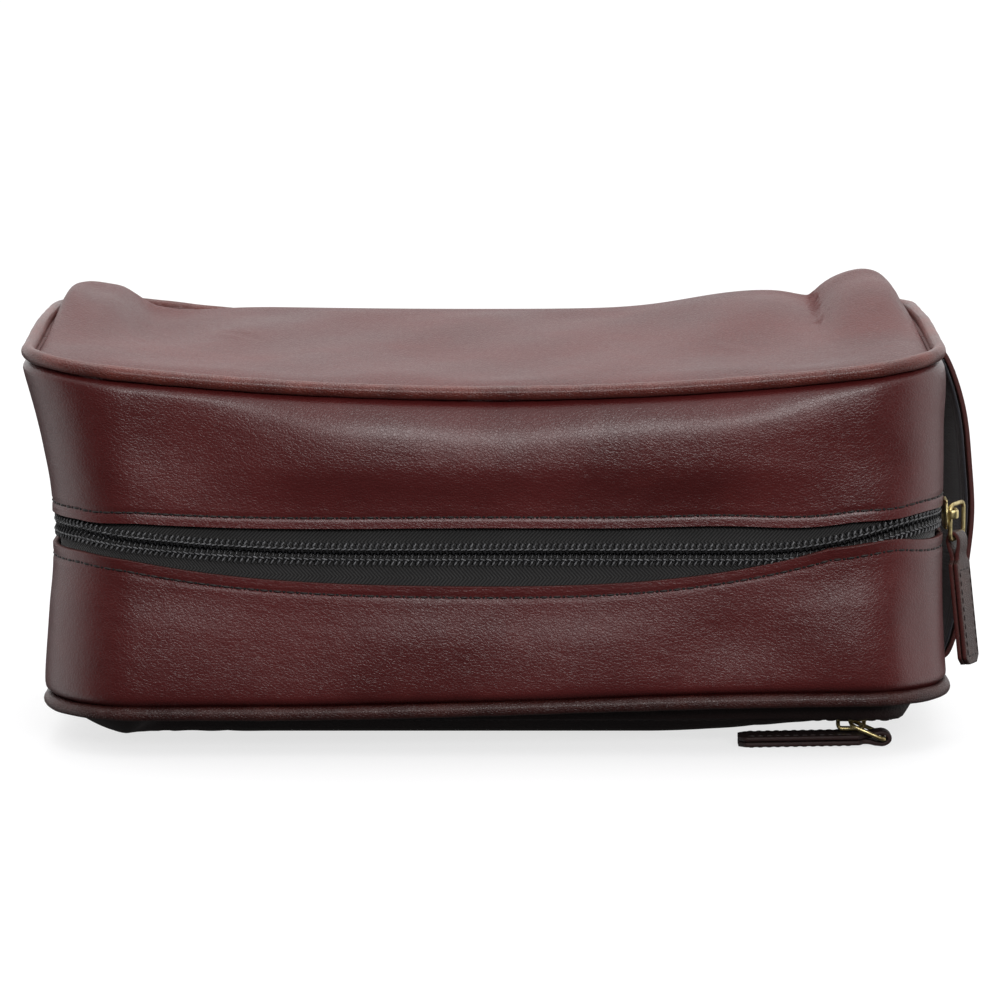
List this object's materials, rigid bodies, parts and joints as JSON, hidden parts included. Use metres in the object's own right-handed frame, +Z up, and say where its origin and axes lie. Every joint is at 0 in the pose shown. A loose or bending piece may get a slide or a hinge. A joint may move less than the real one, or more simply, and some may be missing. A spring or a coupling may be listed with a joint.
{
  "type": "shaving kit bag",
  "caption": "Soft leather shaving kit bag with piped edges, a zip mouth round one long side, a zip pocket in its back panel and a carrying handle across one end.",
  "frame": {"origin": "on the flat middle of the back panel's outer face, at the bag's centre in plan", "axes": "+X to the end with the carrying handle, -Y to the side with the main zip, +Z up from the back panel to the front panel"},
  "size_m": [0.2726, 0.1404, 0.1178],
  "materials": {
    "leather": "semi-matt pebble grain",
    "piping_leather": "semi-matt",
    "zip_coil": "matt",
    "zip_tape": "matt weave",
    "lining": "matt",
    "piping_cord": "matt",
    "antique_brass": "brushed, tarnished"
  },
  "bodies": {
    "bag": {"back_panel": "leather", "back_piping_cover": "piping_leather", "back_piping_cord": "piping_cord", "base_gusset": "leather", "lower_zip_band": "leather", "lower_zip_tape": "zip_tape", "lower_zip_coil": "zip_coil", "front_panel": "leather", "front_piping_cover": "piping_leather", "front_piping_cord": "piping_cord", "zip_end_tab_left": "leather", "zip_end_tab_right": "leather", "zip_bottom_stop": "antique_brass", "zip_top_stop_lower": "antique_brass", "pocket_tape_front": "zip_tape", "pocket_tape_rear": "zip_tape", "pocket_coil_front": "zip_coil", "pocket_coil_rear": "zip_coil", "pocket_top_stop_front": "antique_brass", "pocket_top_stop_rear": "antique_brass", "pocket_bottom_stop": "antique_brass", "pocket_bag": "lining", "handle_strap": "leather", "handle_webbing": "zip_tape", "lining_back": "lining", "lining_base_gusset": "lining", "lining_front": "lining", "lining_lower_band": "lining"},
    "mouth": {"mouth_panel": "leather", "mouth_piping_cover": "piping_leather", "mouth_piping_cord": "piping_cord", "upper_zip_band": "leather", "upper_zip_tape": "zip_tape", "upper_zip_coil": "zip_coil", "zip_top_stop_upper": "antique_brass", "lining_mouth_band": "lining", "lining_mouth_panel": "lining"},
    "main_slider": {"main_slider_body": "antique_brass", "main_slider_bail": "antique_brass"},
    "main_ring": {"main_pull_ring": "antique_brass"},
    "main_pull": {"main_pull_tab": "leather"},
    "pocket_slider": {"pocket_slider_body": "antique_brass", "pocket_slider_bail": "antique_brass"},
    "pocket_ring": {"pocket_pull_ring": "antique_brass"},
    "pocket_pull": {"pocket_pull_tab": "leather"}
  },
  "joints": [
    {"name": "mouth_opening", "type": "hinge", "parent": "bag", "child": "mouth", "pos_m": [0, -0.02, 0.1145], "axis": [-1, 0, 0], "range_deg": [0, 35]},
    {"name": "main_slider_turn", "type": "hinge", "parent": "bag", "child": "main_slider", "pos_m": [0.101, -0.041, 0.0646], "axis": [0, 0, 1], "range_deg": [-32, 0]},
    {"name": "main_ring_swing", "type": "hinge", "parent": "main_slider", "child": "main_ring", "pos_m": [0.13095, -0.041, 0.0646], "axis": [0, 0, 1], "range_deg": [-60, 0]},
    {"name": "main_pull_swing", "type": "hinge", "parent": "main_ring", "child": "main_pull", "pos_m": [0.13325, -0.03667, 0.0567], "axis": [0.4695, 0.8829, 0], "range_deg": [-110, 1]},
    {"name": "pocket_slider_travel", "type": "slide", "parent": "bag", "child": "pocket_slider", "axis": [1, 0, 0], "range_m": [-0.17, 0]},
    {"name": "pocket_ring_swing", "type": "hinge", "parent": "pocket_slider", "child": "pocket_ring", "pos_m": [0.1025, -0.053, 0.00645], "axis": [0, 1, 0], "range_deg": [0, 66.11]},
    {"name": "pocket_pull_swing", "type": "hinge", "parent": "pocket_ring", "child": "pocket_pull", "pos_m": [0.11164, -0.053, 0.0024], "axis": [0, 1, 0], "range_deg": [-155.06, 0]}
  ],
  "couplings": [
    {"joint": "pocket_ring_swing", "follows": "pocket_pull_swing", "ratio": -0.42634}
  ]
}
